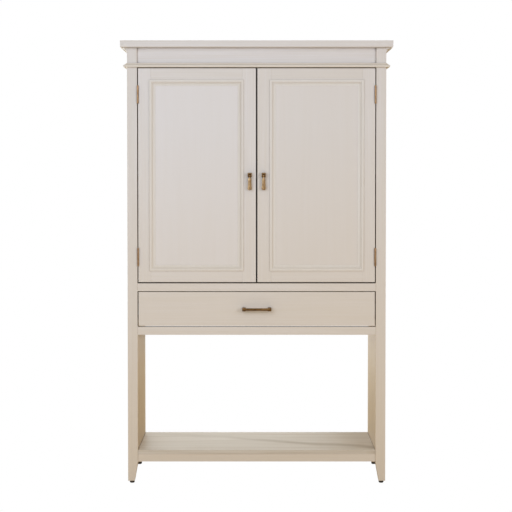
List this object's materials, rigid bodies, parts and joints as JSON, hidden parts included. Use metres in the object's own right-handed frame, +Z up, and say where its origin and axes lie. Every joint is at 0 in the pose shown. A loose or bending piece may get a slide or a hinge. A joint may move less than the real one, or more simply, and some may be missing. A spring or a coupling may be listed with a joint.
{
  "type": "storage cabinet",
  "caption": "Tall free-standing painted storage cabinet with framed hinged doors, a drawer under them, and an open bay over a low shelf on tapered feet.",
  "frame": {"origin": "on the floor under the middle of the cabinet's outer box", "axes": "+Z up, +Y towards the wall behind the cabinet, front face and doors towards -Y, +X to the right as seen from the front"},
  "size_m": [1.009, 0.39, 1.65],
  "materials": {
    "painted_wood": "brushed antique white paint, satin",
    "drawer_wood": "clear lacquered poplar",
    "back_board": "painted hardboard, matt",
    "antique_brass": "antiqued brass, satin with dark recesses",
    "dark_bronze": "oil-rubbed bronze, satin",
    "slide_steel": "zinc plated, satin",
    "nylon": "moulded dark nylon"
  },
  "bodies": {
    "carcass": {"cap_board": "painted_wood", "cove_moulding_left": "painted_wood", "cove_moulding_right": "painted_wood", "astragal_moulding": "painted_wood", "frieze_board": "painted_wood", "leg_front_left": "painted_wood", "leg_front_right": "painted_wood", "leg_rear_left": "painted_wood", "leg_rear_right": "painted_wood", "glide_front_left": "nylon", "glide_front_right": "nylon", "glide_rear_left": "nylon", "glide_rear_right": "nylon", "side_panel_left": "painted_wood", "side_panel_right": "painted_wood", "back_panel": "back_board", "middle_rail": "painted_wood", "lower_rail": "painted_wood", "cabinet_deck": "painted_wood", "adjustable_shelf": "painted_wood", "low_shelf_board": "painted_wood", "low_shelf_rail": "painted_wood", "left_lower_hinge_frame_leaf": "antique_brass", "right_lower_hinge_frame_leaf": "antique_brass", "left_upper_hinge_frame_leaf": "antique_brass", "right_upper_hinge_frame_leaf": "antique_brass", "left_lower_hinge_pin": "antique_brass", "right_lower_hinge_pin": "antique_brass", "left_upper_hinge_pin": "antique_brass", "right_upper_hinge_pin": "antique_brass", "slide_channel_left": "slide_steel", "slide_channel_right": "slide_steel"},
    "left_door": {"left_door_hinge_stile": "painted_wood", "left_door_lock_stile": "painted_wood", "left_door_top_rail": "painted_wood", "left_door_bottom_rail": "painted_wood", "left_door_panel": "painted_wood", "left_door_moulding": "painted_wood", "left_lower_hinge_door_leaf": "antique_brass", "left_upper_hinge_door_leaf": "antique_brass", "left_pull_post": "dark_bronze"},
    "right_door": {"right_door_hinge_stile": "painted_wood", "right_door_lock_stile": "painted_wood", "right_door_top_rail": "painted_wood", "right_door_bottom_rail": "painted_wood", "right_door_panel": "painted_wood", "right_door_moulding": "painted_wood", "right_lower_hinge_door_leaf": "antique_brass", "right_upper_hinge_door_leaf": "antique_brass", "right_pull_post": "dark_bronze"},
    "left_pendant": {"left_pull_pendant": "antique_brass"},
    "right_pendant": {"right_pull_pendant": "antique_brass"},
    "drawer": {"drawer_front": "painted_wood", "drawer_side_left": "drawer_wood", "drawer_side_right": "drawer_wood", "drawer_back": "drawer_wood", "drawer_bottom": "drawer_wood", "drawer_pull": "dark_bronze", "slide_runner_left": "slide_steel", "slide_runner_right": "slide_steel"}
  },
  "joints": [
    {"name": "left_door_swing", "type": "hinge", "parent": "carcass", "child": "left_door", "pos_m": [-0.44125, -0.16875, 0.848], "axis": [0, 0, -1], "range_deg": [0, 170]},
    {"name": "right_door_swing", "type": "hinge", "parent": "carcass", "child": "right_door", "pos_m": [0.44125, -0.16875, 0.848], "axis": [0, 0, 1], "range_deg": [0, 170]},
    {"name": "left_pull_swing", "type": "hinge", "parent": "left_door", "child": "left_pendant", "pos_m": [-0.026, -0.177, 1.1505], "axis": [-1, 0, 0], "range_deg": [-8, 85]},
    {"name": "right_pull_swing", "type": "hinge", "parent": "right_door", "child": "right_pendant", "pos_m": [0.026, -0.177, 1.1505], "axis": [-1, 0, 0], "range_deg": [-8, 85]},
    {"name": "drawer_travel", "type": "slide", "parent": "carcass", "child": "drawer", "axis": [0, -1, 0], "range_m": [0, 0.22]}
  ]
}
